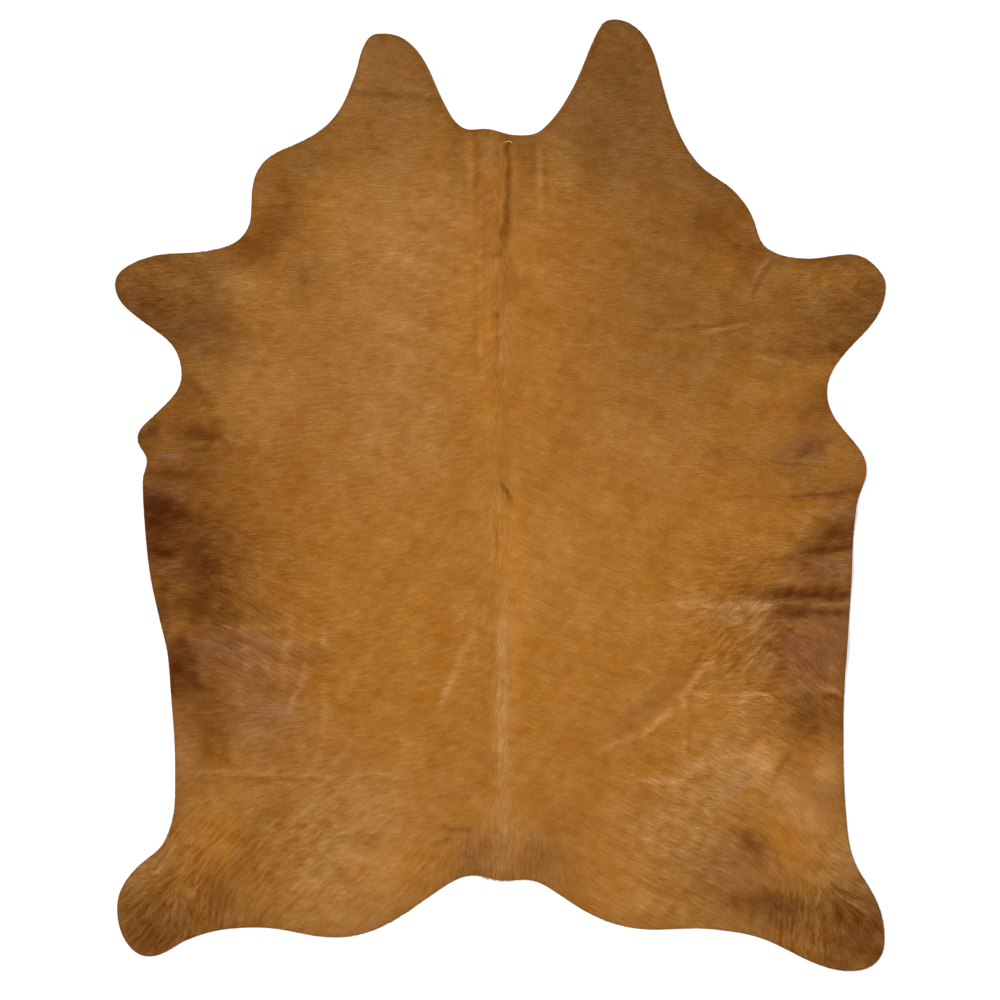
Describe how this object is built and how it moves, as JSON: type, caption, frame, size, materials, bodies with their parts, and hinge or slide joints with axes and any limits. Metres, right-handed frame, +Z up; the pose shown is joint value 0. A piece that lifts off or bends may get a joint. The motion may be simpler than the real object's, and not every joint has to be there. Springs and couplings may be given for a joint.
{
  "type": "cowhide rug",
  "caption": "Flat hair-on cowhide rug with a natural hide outline, neck flaps, spread legs, wavy belly rims and low packing folds, for laying on a floor.",
  "frame": {"origin": "on the floor, under the centre of the hide's bounding box", "axes": "+Y along the spine from the tail to the neck, +X to the right of the hide seen from above with the neck up, +Z up from the floor"},
  "size_m": [1.782, 2.2, 0.0139],
  "materials": {
    "coat": "hair-on cowhide, short satin hair dyed caramel tan, darker along the belly rims"
  },
  "bodies": {
    "root": {"hide": "coat"}
  },
  "joints": []
}
